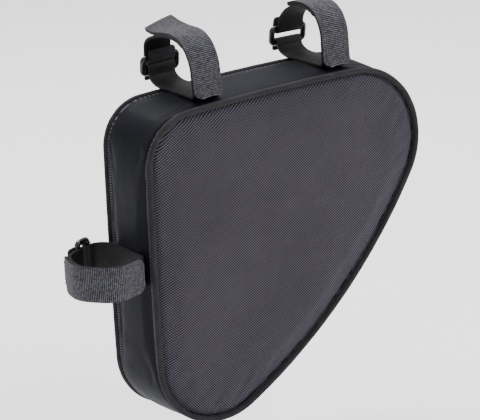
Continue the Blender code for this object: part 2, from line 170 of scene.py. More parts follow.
# Each strap comes up from the front, over the tube, and ends on the rear side in a free end. The tab comes
# up from the ring and lies under it. Both lie along the strap's middle line up to the leaving share.
STRAPS = {
    "rear_top": {
        "rise": 0.0430,
        "front": TOP_FRONT,
        "free_end": ((0.827, 0.994), (1.007, 0.998), (1.187, 1.035)),
        "tab": ((1.007, 0.882), (1.160, 0.811), (1.246, 0.714), (1.270, 0.611)),
        "leaving": 0.80,
        "ring": (1.250, 0.336),
        "ring_lean": 12.0,
        "tab_side": 1,
        "lap": 0.020,
        "loose_fold": 0.0042,
        "end_corner": 0.0012,
        "end_twist": -13.0,
    },
    "fore_top": {
        "rise": 0.0440,
        "front": TOP_FRONT,
        "free_end": ((0.800, 0.980), (0.900, 0.940), (0.960, 0.905)),
        "tab": ((0.950, 0.832), (1.070, 0.715), (1.129, 0.596)),
        "leaving": 0.78,
        "ring": (1.223, 0.330),
        "ring_lean": 10.0,
        "tab_side": -1,
        "lap": 0.020,
    },
    "seat": {
        "rise": 0.0475,
        "front": SEAT_FRONT,
        "free_end": ((0.640, 0.955), (0.730, 0.915), (0.805, 0.878)),
        "tab": ((0.750, 0.838), (0.822, 0.756), (0.874, 0.646)),
        "leaving": 0.66,
        "ring": (0.989, 0.469),
        "ring_lean": 25.0,
        "tab_side": -1,
        "lap": 0.030,
    },
}

STRAP_NAMES = tuple(STRAPS)

# Fineness: about four times the solids' steps, in the same proportions, so that the dents stay in place
CORNER_STEPS = 48
EDGE_STEPS = {"top": 36, "long": 48, "seat": 40}
ROUTE_STEP = 0.0012
WRAP_STEPS = 16
RISE_STEPS = 14
END_ROWS = (0.0, 0.02, 0.08, 0.18, 0.32, 0.5, 0.75, 1.0)
PANEL_RINGS = 26
PROFILE_STEP = 0.055
STRIP_COLUMNS = 10
TUBE_RESOLUTION = 3
RING_CORNER_STEPS = 8

# Cloth of the panels: heights in metres, and reaches as shares of the way in from the edge
PANEL_TUCK = 0.0030
PANEL_REACH = 0.92
PANEL_CROWDING = 1.8
PANEL_ROLL_REACH = 0.15
PANEL_ROLL_POWER = 2.2
PANEL_ROLL_SHARE = 0.72
PANEL_SWELL_REACH = 0.62
PANEL_GROOVE = 0.0024
PANEL_GROOVE_REACH = 0.017
PANEL_PUCKER = 0.00030
PANEL_PUCKER_REACH = 0.045
PANEL_PUCKER_SIZE = 0.006
PANEL_SAG = 0.00055
PANEL_SAG_REACH = 0.12
PANEL_SAG_SIZE = 0.055

# Cloth of the gusset: reaches as shares of its depth in from either seam
GUSSET_TUCK = 0.0019
GUSSET_PAST_SEAM = 0.004
GUSSET_GROOVE = 0.0016
GUSSET_GROOVE_REACH = 0.035
GUSSET_PUCKER = 0.00032
GUSSET_PUCKER_START = 0.03
GUSSET_PUCKER_REACH = 0.11
GUSSET_PUCKER_SIZE = 0.0075
GUSSET_PUCKER_STRETCH = 0.35
GUSSET_WAVE = 0.00075
GUSSET_WAVE_REACH = 0.18
GUSSET_WAVE_SIZE = 0.030

# Piping and webbing
PIPING_RIB_PITCH = 0.0011
PIPING_RIB_DEPTH = 0.00017
PIPING_RIB_PHASE = 0.5
PIPING_WEAR = 0.00012
PIPING_WEAR_SIZE = 0.010
POINTS_A_RIB = 3
TWIST_RUN = 0.030
STRAP_CUP = 0.00035
STRAP_WAVE = 0.00035
STRAP_RIM = 0.0006
WEBBING_CUP = 0.0001
WEBBING_WAVE = 0.0001
WEBBING_RIM = 0.0004
WEBBING_CORNER = 0.001
WAVE_START = 0.02
WAVE_SIZE = 0.022
WAVE_DRIFT = 0.01
RING_SIDE_SWELL = 0.22
RING_BEND = 1.6 * RING_BAR_RADIUS

# Sewing
THREAD_RADIUS = 0.00027
STITCH_LENGTH = 0.0023
STITCH_PITCH = 0.0030
STITCH_RAISE = 0.00005
STITCH_SPOTS = 12
BOX_FROM_EDGE = 0.0028
BOX_LENGTH = 0.0135
SEWN_FROM_END = 0.003
CROSS_FROM_EDGE = 0.002
ZIP_STITCH_FROM_SLOT = 0.0032
ZIP_STITCH_PAST_END = 0.004
ZIP_STITCH_STEP = 0.003

# Zip
ZIP_TOOTH_PITCH = 0.0013
ZIP_TOOTH_WIRE = 0.00030
ZIP_TOOTH_REACH = 0.0024
ZIP_TOOTH_POINTS = 10
ZIP_END_PLAY = 0.001
ZIP_TAPE_WIDTH = 0.0075
ZIP_TAPE_THICKNESS = 0.0007
ZIP_TAPE_GAP = 0.0002
ZIP_TAPE_EDGE = 0.0001
ZIP_PLATE_THICKNESS = 0.0014
ZIP_BRIDGE_SINK = 0.0002
ZIP_BRIDGE_WIDTH = 0.0022
ZIP_EDGE = 0.0003
ZIP_NECK_LENGTH = 0.0062
ZIP_NECK_RISE = 0.003
ZIP_RIDGE_PITCH = 0.0026
ZIP_RIDGES = 5

# Weaves
TWILL = (542.0, 498.0)
CROSS_TWILL = (328.0, -530.0)
LOOP_ROW_PITCH = 0.0013
LOOP_WIDTH = 0.0011
HOOK_PITCH = 0.0012
WEBBING_RIB_PITCH = 0.0013
WEFT_PITCH = 0.0009

# Settling of the cloth
CLOTH_FRAMES = 14
PANEL_PUSH = 4.0
PANEL_CAP = 0.0015
GUSSET_PUSH = 3.0
GUSSET_CAP = 0.0011

# Camera and floor, as the photograph was taken
CAMERA_PLACE = Vector((-0.7682, -1.1508, 0.3128))
CAMERA_AIM = Vector((0.520, 0.800, -0.300))
CAMERA_RIGHT = Vector((0.831, -0.555, -0.041))
LENS_MM = 150.0
SENSOR_MM = 36.0
FLOOR_DROP = 0.045
FLOOR_SIZE = 8.0
FLOOR_GLOW = 0.50
SKY_GLOW = 0.72
SOFTBOXES = {
    # name: (place, power in watts, size)
    "key": ((0.50, -0.78, 0.80), 11.5, 0.65),
    "fill": ((-1.7, -0.5, 0.4), 2.0, 1.2),
    "top": ((0.15, 0.75, 1.7), 62.0, 1.4),
}


# Sizes that follow from the ones above
SEAM_STAND = PIPING_RADIUS + SEWING_GAP
GUSSET_CREST = max(across * BACK_FULLNESS + bulge * GUSSET_BULGE for across, bulge in GUSSET_ROWS)
GUSSET_STAND = SEAM_STAND + GUSSET_EDGE_STAND + GUSSET_CREST
PIPING_STAND = SEAM_STAND + PIPING_RADIUS + BACK_FULLNESS + SEWING_GAP
STRAP_STAND = max(GUSSET_STAND, PIPING_STAND)
HANG_X = REAR_STRAP_FROM_SEAT_EDGE + TOP_STRAP_SPACING / 2
ORIGIN = Vector((HANG_X, SEAM_DEPTH / 2, STRAP_STAND + TUBE_CENTRE_RISE))


# Outlines and routes, as in the solids

OUTLINE_LEGS = (
    # (corner, edge before it, edge after it, next corner)
    ("seat", "seat", "top", "head"),
    ("head", "top", "long", "foot"),
    ("foot", "long", "seat", "seat"),
)


class Outline:
    """A triangle of three corner arcs and three slightly bowed edges, in the X-Z plane.

    X is measured from the seat edge and Z down from the top, so the whole outline has Z below zero.
    """

    def __init__(self, grow, seat_radius, head_radius, foot_radius):
        left, right, top, foot = -grow, PANEL_WIDTH + grow, grow, -PANEL_HEIGHT - grow
        self.corners = {
            "seat": (Vector((left + seat_radius, top - SEAT_CORNER_DROP - seat_radius)), seat_radius),
            "head": (Vector((right - head_radius, top - head_radius)), head_radius),
            "foot": (Vector((left + foot_radius, foot + foot_radius)), foot_radius),
        }
        self.middle = sum((centre for centre, _ in self.corners.values()), Vector((0, 0))) / 3
        self.edges = {
            "top": (self.edge_centre("seat", "head", TOP_EDGE_RADIUS), TOP_EDGE_RADIUS),
            "long": (self.edge_centre("head", "foot", LONG_EDGE_RADIUS), LONG_EDGE_RADIUS),
            "seat": (self.edge_centre("foot", "seat", SEAT_EDGE_RADIUS), SEAT_EDGE_RADIUS),
        }

    def edge_centre(self, start, end, radius):
        """Centre of the large arc that touches two corner arcs from outside the bag's middle."""
        (first, first_radius), (second, second_radius) = self.corners[start], self.corners[end]
        apart = second - first
        near, far = radius - first_radius, radius - second_radius
        along = (near**2 - far**2 + apart.length_squared) / (2 * apart.length)
        away = math.sqrt(near**2 - along**2)
        foot = first + apart.normalized() * along
        side = Vector((-apart.y, apart.x)).normalized()
        if side.dot(self.middle - foot) < 0:
            side = -side
        return foot + side * away

    def heading(self, corner, edge):
        """Angle of the outward normal where a corner arc meets an edge."""
        way = self.corners[corner][0] - self.edges[edge][0]
        return math.atan2(way.y, way.x)

    def points(self):
        """Pairs of a point and its outward normal, clockwise from the seat corner's lower end."""
        found = []
        for corner, before, after, following in OUTLINE_LEGS:
            centre, radius = self.corners[corner]
            start, end = self.heading(corner, before), self.heading(corner, after)
            found += arc(centre, radius, start, end, CORNER_STEPS)
            centre, radius = self.edges[after]
            found += arc(centre, radius, end, self.heading(following, after), EDGE_STEPS[after])
        return found

    def on_edge(self, edge, axis, value):
        """Point and normal on a bowed edge where one coordinate has a value."""
        centre, radius = self.edges[edge]
        other = 1 - axis
        reach = value - centre[axis]
        outward = 1 if self.edges[edge][0][other] < self.middle[other] else -1
        point = centre.copy()
        point[axis] = value
        point[other] += outward * math.sqrt(radius**2 - reach**2)
        return point, (point - centre).normalized()


def arc(centre, radius, start, end, steps):
    """Points and normals along a clockwise arc, without its last point."""
    turn = (start - end) % (2 * math.pi)
    angles = [start - turn * i / steps for i in range(steps)]
    normals = [Vector((math.cos(angle), math.sin(angle))) for angle in angles]
    return [(centre + normal * radius, normal) for normal in normals]


FRONT = Outline(0.0, SEAT_CORNER_RADIUS, HEAD_CORNER_RADIUS, FOOT_CORNER_RADIUS)
BACK = Outline(
    BACK_FULLNESS, BACK_SEAT_CORNER_RADIUS, BACK_HEAD_CORNER_RADIUS, BACK_FOOT_CORNER_RADIUS
)


def through(points, step, skipped=0):
    """A smooth curve through points in a plane, read at about equal steps (Catmull-Rom).

    The first skipped stretches only give the curve its heading.
    """
    ends = [points[0] * 2 - points[1]] + points + [points[-1] * 2 - points[-2]]
    fine = []
    for before, start, end, after in list(zip(ends, ends[1:], ends[2:], ends[3:]))[skipped:]:
        count = max(2, round((end - start).length / step))
        for i in range(count):
            t = i / count
            twice = 2 * start + (end - before) * t + (2 * before - 5 * start + 4 * end - after) * t * t
            fine.append(0.5 * (twice + (3 * start - before - 3 * end + after) * t * t * t))
    return fine + [points[-1]]


def bezier(pulls, t):
    """Point on a cubic curve between the first and last of four pulls."""
    first, second, third, last = pulls
    u = 1 - t
    return first * u**3 + second * (3 * u * u * t) + third * (3 * u * t * t) + last * t**3


def side_of(points, i):
    """Unit normal of a path at a point, to the left of its way: outwards on a strap's loop."""
    way = points[min(i + 1, len(points) - 1)] - points[max(i - 1, 0)]
    return Vector((-way.y, way.x)).normalized()


def along(points):
    """Length along a path at each of its points."""
    lengths = [0.0]
    for first, second in zip(points, points[1:]):
        lengths.append(lengths[-1] + (second - first).length)
    return lengths


def share_at(lengths, wanted):
    """The stretch of a path that a length falls in, by its end's index, and the share of the way along it."""
    k = next((k for k, length in enumerate(lengths) if k and length >= wanted), len(lengths) - 1)
    return k, (wanted - lengths[k - 1]) / (lengths[k] - lengths[k - 1])


def fading(way, reach):
    """1 at a place and falling smoothly to nothing within about two reaches of it."""
    return math.exp(-((way / reach) ** 2))


def rising(way, reach):
    """0 up to a place, then rising evenly to 1 at a reach beyond it."""
    return min(max(way, 0.0) / reach, 1.0)


def wrap(centre, radius, start, turn):
    """Points round a ring's bar, from an angle in degrees, turning by a signed number of degrees."""
    angles = [math.radians(start + turn * i / WRAP_STEPS) for i in range(WRAP_STEPS + 1)]
    return [centre + Vector((math.cos(angle), math.sin(angle))) * radius for angle in angles]


def placed(plan, shares):
    """A route's points in a strap's plane, from its shares of the seam depth and the loop's rise."""
    return [Vector((depth * SEAM_DEPTH, rise * plan["rise"])) for depth, rise in shares]


def ring_bars(plan):
    """Middles of the ring's lower and upper bars, and the unit way between them, in the strap's plane."""
    middle = placed(plan, [plan["ring"]])[0]
    lean = math.radians(plan["ring_lean"])
    way = Vector((-math.sin(lean), math.cos(lean)))
    return middle - way * RING_BAR_SPACING / 2, middle + way * RING_BAR_SPACING / 2, way


def strap_path(plan):
    """Middle line of the long strap: up from the front, over the tube and back to its free end."""
    return through(placed(plan, plan["front"] + plan["free_end"]), ROUTE_STEP)


def tab_path(plan):
    """Middle line of the tab: along the underside of the strap, down to the ring and round its upper bar."""
    _, upper, way = ring_bars(plan)
    lean = plan["ring_lean"]
    reach = RING_BAR_RADIUS + RING_CLEARANCE + TAB_THICKNESS / 2
    apart = (STRAP_THICKNESS + TAB_THICKNESS) / 2 + SEWING_GAP
    strap = strap_path(plan)
    lengths = along(strap)
    last = plan["leaving"] * SEAM_DEPTH
    leaving = next(length for length, point in zip(lengths, strap) if point.x > last)
    under = [
        strap[i] - side_of(strap, i) * apart
        for i, length in enumerate(lengths)
        if leaving - TAB_OVERLAP < length < leaving
    ]
    start = 180 + lean if plan["tab_side"] < 0 else lean
    round_bar = wrap(upper, reach, start, -180 * plan["tab_side"])
    down = through([under[-3], under[-1]] + placed(plan, plan["tab"]) + [round_bar[0]], ROUTE_STEP, 1)
    inward = Vector((way.y, -way.x)) * plan["tab_side"]
    tail_end = round_bar[-1] + way * TAB_TAIL + inward * TAB_TUCK
    return under[:-1] + down + round_bar[1:] + [round_bar[-1].lerp(tail_end, 0.5), tail_end]


def base_path(plan):
    """Middle line of the base webbing: down inside the strap, along the gusset, and round the lower bar."""
    lower, _, way = ring_bars(plan)
    lean = plan["ring_lean"]
    apart = (STRAP_THICKNESS + BASE_THICKNESS) / 2 + SEWING_GAP
    strap = strap_path(plan)
    lengths = along(strap)
    floor = SEWING_GAP + BASE_THICKNESS / 2
    lap = []
    for i, length in enumerate(lengths):
        point = strap[i] - side_of(strap, i) * apart
        if length < plan["lap"] and point.y > floor + BASE_CORNER_RADIUS:
            lap.append(point)
    lap.reverse()
    corner = Vector((lap[-1].x + BASE_CORNER_RADIUS, floor + BASE_CORNER_RADIUS))
    bend = wrap(corner, BASE_CORNER_RADIUS, 180, 90)
    reach = RING_BAR_RADIUS + RING_CLEARANCE + BASE_THICKNESS / 2
    inside = lower - Vector((way.y, -way.x)) * reach
    fold = way * plan.get("loose_fold", 0.0)
    rear = Vector((inside.x - BASE_RISE_RUN, floor))
    pulls = (rear, rear + Vector((0.6 * BASE_RISE_RUN, 0)), inside - way * 0.45 * inside.y, inside)
    rise = [bezier(pulls, i / RISE_STEPS) for i in range(RISE_STEPS + 1)]
    round_bar = wrap(lower + fold, reach, 180 + lean, -180)[1:]
    if fold.length:
        round_bar = [inside + fold * 0.5, inside + fold * 0.95] + round_bar
    tail_end = round_bar[-1] - fold - way * BASE_TAIL - Vector((way.y, -way.x)) * BASE_TUCK
    return lap + bend[1:] + rise + round_bar + [tail_end]


def place(seat, stand):
    """Where a strap stands on the gusset: its foot, its outward way and the way of its width."""
    point, normal = seat
    outward = Vector((normal.x, 0, normal.y))
    foot = Vector((point.x, 0, point.y)) + outward * stand
    return foot, outward, outward.cross(Vector((0, 1, 0)))


# Building of sheets and pieces


def at(x, depth, z):
    """A point of the solids' own layout, moved so that the origin is where the bag hangs."""
    return Vector((x, depth, z)) - ORIGIN


def ripple(point, size, seed):
    """A smooth number from about -1 to 1 that changes over a distance."""
    return noise.noise(point / size + Vector((seed, 0.3 * seed, 0.7 * seed)))


def grow_rows(rows, closed, marks=None):
    """A sheet through rows of points, each row extruded from the one before it.

    marks holds, for each row, the places on the cut cloth as pairs (across, along) in metres, for the UV map.
    """
    sheet = bmesh.new()
    row = [sheet.verts.new(point) for point in rows[0]]
    ends = row[1:] + row[:1] if closed else row[1:]
    edges = [sheet.edges.new(pair) for pair in zip(row, ends)]
    grid = [row]
    for points in rows[1:]:
        grown = bmesh.ops.extrude_edge_only(sheet, edges=edges)["geom"]
        fresh = {part for part in grown if isinstance(part, bmesh.types.BMVert)}
        row = [
            next(edge.other_vert(old) for edge in old.link_edges if edge.other_vert(old) in fresh)
            for old in row
        ]
        edges = [part for part in grown if isinstance(part, bmesh.types.BMEdge)]
        edges = [edge for edge in edges if all(end in fresh for end in edge.verts)]
        for vert, point in zip(row, points):
            vert.co = point
        grid.append(row)
    if marks:
        layer = sheet.loops.layers.uv.new("cloth")
        place_of = {}
        for verts, pairs in zip(grid, marks):
            place_of.update(zip(verts, pairs))
        for face in sheet.faces:
            for loop in face.loops:
                loop[layer].uv = place_of[loop.vert]
    bmesh.ops.recalc_face_normals(sheet, faces=sheet.faces)
    return sheet, edges


def face_out(sheet, inside):
    """Turns a sheet so that its faces look away from a point inside the bag."""
    away = sum(face.normal.dot(face.calc_center_median() - inside) for face in sheet.faces)
    if away < 0:
        bmesh.ops.reverse_faces(sheet, faces=sheet.faces)


def add_object(name, data):
    made = bpy.data.objects.new(name, data)
    bpy.context.scene.collection.objects.link(made)
    return made


def as_mesh(name, body):
    data = bpy.data.meshes.new(name)
    body.to_mesh(data)
    body.free()
    return data


def add_piece(name, sheet, looks):
    """A bmesh made a piece of the bag, with its materials."""
    data = as_mesh(name, sheet)
    data.shade_smooth()
    for look in looks:
        data.materials.append(look)
    piece = add_object(name, data)
    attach(piece, "root")
    return piece


def add_wall(piece, thickness, offset, inner_look=0):
    """A wall under a sheet, whose inner face and rim may have the piece's second material."""
    wall = piece.modifiers.new("Wall", "SOLIDIFY")
    wall.thickness = thickness
    wall.offset = offset
    wall.material_offset = inner_look
    wall.material_offset_rim = inner_look


def round_rims(piece, width):
    rim = piece.modifiers.new("Rim", "BEVEL")
    rim.width = width
    rim.segments = 2
    rim.profile = 0.5
    rim.limit_method = "ANGLE"
    rim.angle_limit = math.radians(50)


def bake(piece):
    """Makes a piece's modifiers part of its mesh."""
    ready = piece.evaluated_get(bpy.context.evaluated_depsgraph_get())
    data = bpy.data.meshes.new_from_object(ready)
    piece.modifiers.clear()
    old = piece.data
    piece.data = data
    bpy.data.meshes.remove(old)
    data.name = piece.name


def settle(piece, sewn, push, cap):
    """Lets a sheet's cloth settle under a light push from inside, held along its seams."""
    group = piece.vertex_groups.new(name="sewn")
    group.add(sewn, 1.0, "REPLACE")
    before = [vert.co.copy() for vert in piece.data.vertices]
    cloth = piece.modifiers.new("Cloth", "CLOTH")
    rules = cloth.settings
    rules.quality = 6
    rules.tension_stiffness = 15
    rules.compression_stiffness = 15
    rules.shear_stiffness = 5
    rules.bending_stiffness = 0.5
    rules.vertex_group_mass = "sewn"
    rules.use_pressure = True
    rules.uniform_pressure_force = push
    rules.effector_weights.gravity = 0
    cloth.collision_settings.use_collision = False
    scene = bpy.context.scene
    for step in range(1, CLOTH_FRAMES + 1):
        scene.frame_set(step)
    ready = piece.evaluated_get(bpy.context.evaluated_depsgraph_get())
    after = [vert.co.copy() for vert in ready.data.vertices]
    piece.modifiers.remove(cloth)
    piece.vertex_groups.remove(group)
    scene.frame_set(1)
    for vert, old, new in zip(piece.data.vertices, before, after):
        move = new - old
        if move.length > cap:
            move *= cap / move.length
        vert.co = old + move


def curve_mesh(name, points, radii, closed, resolution):
    """A round tube along points, as a bmesh, with a radius for each point."""
    data = bpy.data.curves.new(name, "CURVE")
    data.dimensions = "3D"
    data.bevel_depth = 1.0
    data.bevel_resolution = resolution
    data.use_fill_caps = not closed
    spline = data.splines.new("POLY")
    spline.points.add(len(points) - 1)
    for target, point, radius in zip(spline.points, points, radii):
        target.co = (*point, 1.0)
        target.radius = radius
    spline.use_cyclic_u = closed
    spline.use_smooth = True
    path = add_object(name, data)
    ready = path.evaluated_get(bpy.context.evaluated_depsgraph_get())
    tube = bmesh.new()
    tube.from_mesh(ready.to_mesh())
    bpy.data.objects.remove(path)
    bpy.data.curves.remove(data)
    bmesh.ops.remove_doubles(tube, verts=tube.verts, dist=1e-7)
    bmesh.ops.recalc_face_normals(tube, faces=tube.faces)
    return tube


def rounded_block(size, centre, axis, radius, edge_radius):
    """A box whose edges along one axis are well rounded and whose other edges are broken."""
    body = bmesh.new()
    bmesh.ops.create_cube(body, size=1.0)
    bmesh.ops.scale(body, vec=size, verts=body.verts)
    bmesh.ops.translate(body, vec=centre, verts=body.verts)
    chosen = []
    for edge in body.edges:
        way = edge.verts[1].co - edge.verts[0].co
        if abs(way[axis]) > 0.5 * way.length:
            chosen.append(edge)
    bevel_edges(body, chosen, radius, 6)
    body.normal_update()
    sharp = [edge for edge in body.edges if edge.calc_face_angle(0) > math.radians(60)]
    bevel_edges(body, sharp, edge_radius, 2)
    return body


def bevel_edges(body, edges, width, segments):
    bmesh.ops.bevel(
        body, geom=edges, offset=width, segments=segments, profile=0.5, affect="EDGES", material=-1
    )


def join(parts):
    """One bmesh from several."""
    whole = bmesh.new()
    for part in parts:
        data = as_mesh("part", part)
        whole.from_mesh(data)
        bpy.data.meshes.remove(data)
    return whole


def stitch_line(thread, spots):
    """Adds raised stitches to a bmesh along spots, each a pair of a point and the surface's normal."""
    lengths = along([point for point, _ in spots])
    count = max(1, int(lengths[-1] / STITCH_PITCH))
    start = (lengths[-1] - (count - 1) * STITCH_PITCH) / 2
    for i in range(count):
        wanted = start + i * STITCH_PITCH
        k, share = share_at(lengths, wanted)
        (first, _), (second, normal) = spots[k - 1], spots[k]
        way = (second - first).normalized()
        side = normal.cross(way).normalized()
        up = way.cross(side)
        turn = Matrix((way, side, up)).transposed().to_4x4()
        size = Matrix.Diagonal((STITCH_LENGTH / 2, THREAD_RADIUS, THREAD_RADIUS, 1.0))
        middle = Matrix.Translation(first.lerp(second, share) + up * STITCH_RAISE)
        shape = middle @ turn @ size
        bmesh.ops.create_uvsphere(thread, u_segments=6, v_segments=4, radius=1.0, matrix=shape)


# Materials


class Look:
    """A node material with short calls for its nodes. Its spot is the place on the piece."""

    def __init__(self, name, roughness):
        self.material = bpy.data.materials.new(name)
        self.material.use_nodes = True
        self.tree = self.material.node_tree
        self.shader = self.tree.nodes["Principled BSDF"]
        self.shader.inputs["Roughness"].default_value = roughness
        self.spot = self.node("ShaderNodeTexCoord").outputs["Object"]

    def node(self, kind, settings=None, **inputs):
        made = self.tree.nodes.new(kind)
        for key, value in (settings or {}).items():
            setattr(made, key, value)
        for key, value in inputs.items():
            self.feed(made.inputs[key.replace("_", " ")], value)
        return made

    def feed(self, socket, value):
        if isinstance(value, bpy.types.NodeSocket):
            self.tree.links.new(value, socket)
        else:
            socket.default_value = value

    def sheet(self):
        return self.node("ShaderNodeUVMap", {"uv_map": "cloth"}).outputs["UV"]

    def split(self, vector):
        return self.node("ShaderNodeSeparateXYZ", Vector=vector).outputs

    def math(self, operation, first, second=0.0, third=0.0):
        made = self.node("ShaderNodeMath", {"operation": operation})
        for socket, value in zip(made.inputs, (first, second, third)):
            self.feed(socket, value)
        return made.outputs[0]

    def noise(self, size, detail=3.0, roughness=0.55):
        made = self.node("ShaderNodeTexNoise", Vector=self.spot, Scale=1 / size)
        made.inputs["Detail"].default_value = detail
        made.inputs["Roughness"].default_value = roughness
        return made.outputs[0]

    def wave(self, value, pitch):
        """A sine wave along a value, with a pitch in metres."""
        return self.math("SINE", self.math("MULTIPLY", value, 2 * math.pi / pitch))

    def total(self, *parts, base=0.0):
        """A weighted sum: each part is (value, weight)."""
        for value, weight in parts:
            base = self.math("MULTIPLY_ADD", value, weight, base)
        return base

    def diagonal(self, part, across, up):
        """A wave across slanted threads, from the threads in a metre along X and along Z."""
        return self.wave(self.total((part[0], across), (part[2], up)), 1.0)

    def cells(self, across, along_rows, width, height):
        """A random number for each thread of a weave, in rows of short floats set off by half."""
        row = self.math("FLOOR", self.math("DIVIDE", along_rows, height))
        offset = self.math("MULTIPLY", self.math("MODULO", row, 2.0), 0.5)
        column = self.math("FLOOR", self.math("ADD", self.math("DIVIDE", across, width), offset))
        spot = self.node("ShaderNodeCombineXYZ", X=column, Y=row)
        chance = self.node("ShaderNodeTexWhiteNoise", {"noise_dimensions": "2D"})
        self.tree.links.new(spot.outputs["Vector"], chance.inputs["Vector"])
        return chance.outputs["Value"]

    def ramp(self, value, *stops):
        """Colours along a value: each stop is (place, colour)."""
        made = self.node("ShaderNodeValToRGB", Fac=value)
        band = made.color_ramp.elements
        while len(band) < len(stops):
            band.new(0.5)
        for element, (place, colour) in zip(band, stops):
            element.position = place
            element.color = (*colour, 1.0)
        return made.outputs["Color"]

    def shaded(self, colour, shade):
        """A colour multiplied by another."""
        made = self.node("ShaderNodeMix", {"data_type": "RGBA", "blend_type": "MULTIPLY"})
        for socket, value in zip((0, 6, 7), (1.0, colour, shade)):
            self.feed(made.inputs[socket], value)
        return made.outputs[2]

    def span(self, value, low, high):
        """A value from 0 to 1 spread between two others."""
        made = self.node("ShaderNodeMapRange", Value=value)
        made.inputs["To Min"].default_value = low
        made.inputs["To Max"].default_value = high
        return made.outputs[0]

    def colour(self, value):
        self.feed(self.shader.inputs["Base Color"], value)

    def roughness(self, value):
        self.feed(self.shader.inputs["Roughness"], value)

    def relief(self, height, depth, strength=1.0):
        bump = self.node("ShaderNodeBump", Height=height)
        bump.inputs["Distance"].default_value = depth
        bump.inputs["Strength"].default_value = strength
        self.tree.links.new(bump.outputs["Normal"], self.shader.inputs["Normal"])

    def sheen(self, weight, roughness=0.5, tint=(0.8, 0.8, 0.9)):
        self.shader.inputs["Sheen Weight"].default_value = weight
        self.shader.inputs["Sheen Roughness"].default_value = roughness
        self.shader.inputs["Sheen Tint"].default_value = (*tint, 1.0)

    def gloss(self, specular):
        self.shader.inputs["Specular IOR Level"].default_value = specular


def woven_polyester():
    """Dark diagonal weave with a violet tint: a strong twill crossed by a fainter one, a little uneven."""
    look = Look("woven_polyester", 0.88)
    part = look.split(look.spot)
    twill = look.diagonal(part, *TWILL)
    cross = look.diagonal(part, *CROSS_TWILL)
    grain = look.noise(0.0008, 2.0)
    streaky = look.math("MULTIPLY", twill, look.noise(0.009, 3.0))
    mixed = look.total((streaky, 0.62), (cross, 0.30), (grain, 0.36), base=0.32)
    base = look.ramp(
        mixed,
        (0.14, (0.0012, 0.0010, 0.0018)),
        (0.50, (0.0165, 0.0145, 0.0216)),
        (0.86, (0.1060, 0.0965, 0.1225)),
    )
    broad = look.noise(0.05, 4.0)
    shade = look.ramp(broad, (0.3, (0.90, 0.90, 0.90)), (0.7, (1.10, 1.10, 1.10)))
    look.colour(look.shaded(base, shade))
    look.roughness(look.span(grain, 0.78, 0.96))
    look.gloss(0.15)
    look.sheen(0.06, 0.45, (0.75, 0.73, 0.85))
    look.relief(mixed, 0.00025, 0.8)
    return look.material


def coated_gusset():
    """Smooth coated cloth, near black and a little blue, with a soft shine and a faint fine weave."""
    look = Look("coated_gusset", 0.55)
    fine = look.noise(0.0006, 2.0)
    creases = look.noise(0.013, 5.0, 0.6)
    broad = look.noise(0.06, 3.0)
    tone = look.total((fine, 0.4), (broad, 0.6))
    look.colour(look.ramp(tone, (0.30, (0.0048, 0.0050, 0.0078)), (0.70, (0.0110, 0.0114, 0.0160))))
    look.roughness(look.span(creases, 0.42, 0.66))
    look.gloss(0.06)
    look.relief(look.total((fine, 0.12), base=creases), 0.0009, 0.45)
    return look.material


def ribbed_piping():
    """Corded cloth tape: ribs across the bead, in a mottled dark tone."""
    look = Look("ribbed_piping", 0.85)
    fine = look.noise(0.0007, 2.0)
    broad = look.noise(0.012, 3.0)
    mixed = look.total((broad, 0.35), (fine, 0.65))
    look.colour(look.ramp(mixed, (0.30, (0.0050, 0.0045, 0.0053)), (0.70, (0.0340, 0.0300, 0.0345))))
    look.gloss(0.15)
    look.sheen(0.06)
    look.relief(fine, 0.00015, 0.7)
    return look.material


def loop_pile():
    """The loop side of the straps: dark grey, in uneven cross rows of short brushed loops."""
    look = Look("loop_pile", 0.92)
    strip = look.split(look.sheet())
    fuzz = look.noise(0.0009, 3.0, 0.7)
    clumps = look.noise(0.0035, 3.0, 0.6)
    rows = look.wave(strip[1], LOOP_ROW_PITCH)
    cell = look.cells(strip[0], strip[1], LOOP_WIDTH, LOOP_ROW_PITCH)
    mixed = look.total((rows, 0.15), (cell, 0.14), (fuzz, 0.36), (clumps, 0.20), base=0.15)
    colour = look.ramp(
        mixed,
        (0.30, (0.0070, 0.0069, 0.0088)),
        (0.50, (0.0350, 0.0346, 0.0410)),
        (0.70, (0.1130, 0.1120, 0.1270)),
    )
    look.colour(colour)
    look.gloss(0.12)
    look.sheen(0.12, 0.45, (0.85, 0.84, 0.9))
    look.relief(mixed, 0.0006, 0.9)
    return look.material


def hook_side():
    """The hook side of the straps and tabs: black, with rows of tiny hooks."""
    look = Look("hook_side", 0.6)
    part = look.split(look.spot)
    rows = look.wave(part[0], HOOK_PITCH)
    columns = look.wave(look.math("ADD", part[1], part[2]), HOOK_PITCH)
    hooks = look.math("MULTIPLY", rows, columns)
    fuzz = look.noise(0.0008, 2.0)
    look.colour(look.ramp(fuzz, (0.3, (0.0025, 0.0025, 0.0028)), (0.8, (0.0090, 0.0090, 0.0095))))
    look.gloss(0.15)
    look.relief(look.math("ADD", hooks, fuzz), 0.0004, 0.7)
    return look.material


def base_webbing():
    """Black woven webbing: ribs along its length, crossed by the weft."""
    look = Look("base_webbing", 0.62)
    strip = look.split(look.sheet())
    ribs = look.wave(strip[0], WEBBING_RIB_PITCH)
    height = look.total((look.wave(strip[1], WEFT_PITCH), 0.35), base=ribs)
    fuzz = look.noise(0.0006, 2.0)
    wear = look.noise(0.011, 4.0)
    mixed = look.total((wear, 0.5), (fuzz, 0.5))
    look.colour(look.ramp(mixed, (0.3, (0.0040, 0.0039, 0.0045)), (0.75, (0.0260, 0.0250, 0.0265))))
    look.roughness(look.span(wear, 0.5, 0.8))
    look.gloss(0.2)
    look.relief(height, 0.00012, 0.7)
    return look.material


